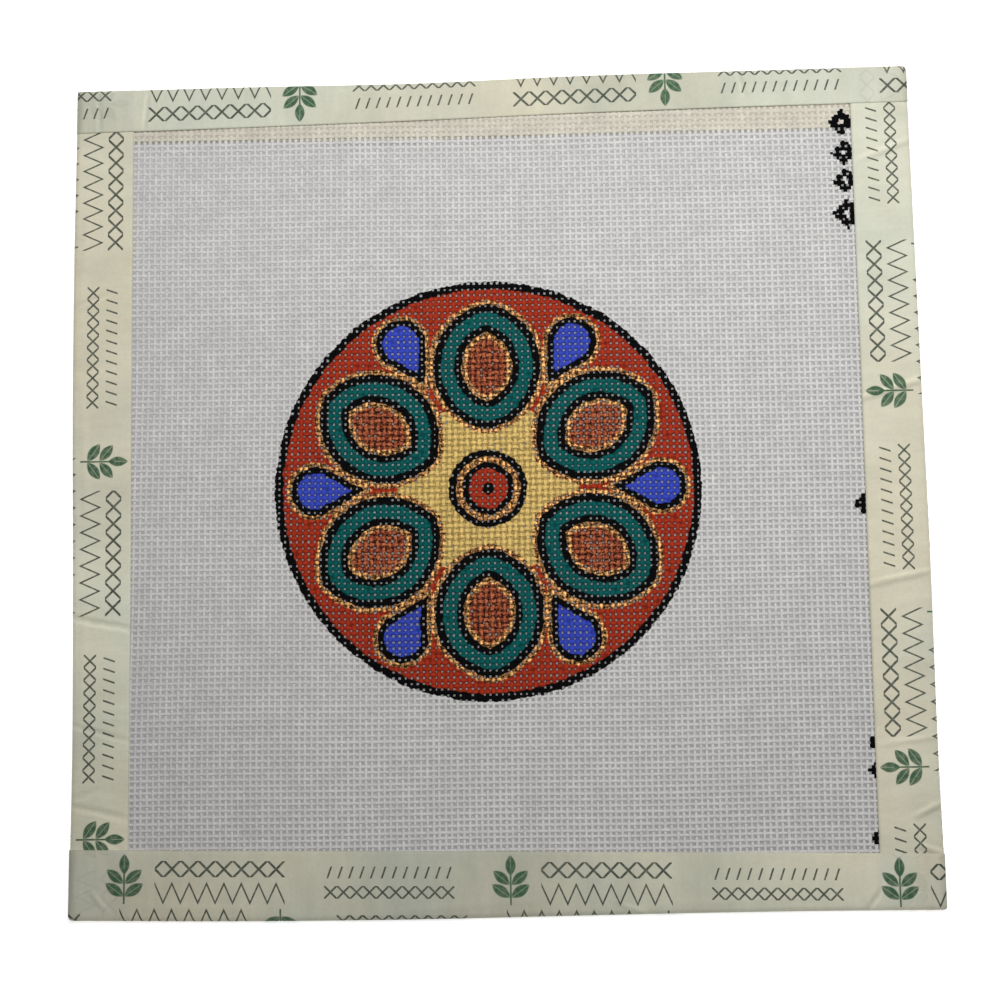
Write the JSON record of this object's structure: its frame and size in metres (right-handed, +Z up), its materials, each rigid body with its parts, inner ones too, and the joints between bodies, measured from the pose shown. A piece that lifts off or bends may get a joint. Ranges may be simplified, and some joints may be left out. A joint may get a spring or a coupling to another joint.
{
  "type": "needlepoint canvas panel",
  "caption": "Flat square of painted mono needlepoint canvas with a round medallion, its cut edges bound in folded paper tape, ready to stitch.",
  "frame": {"origin": "under the middle of the panel's bounding box, on the surface it lies on", "axes": "+Z up out of the painted front, +Y towards the top edge, where the selvage is, +X towards the right edge as seen from the front"},
  "size_m": [0.2027, 0.2028, 0.0036],
  "materials": {
    "canvas": "stiffened plain-weave cotton, painted at the middle",
    "tape": "pale cream-green crepe-free paper tape, softly creased, with a grey-green print"
  },
  "bodies": {
    "root": {"canvas": "canvas", "tape_left": "tape", "tape_right": "tape", "tape_top": "tape", "tape_bottom": "tape"}
  },
  "joints": []
}
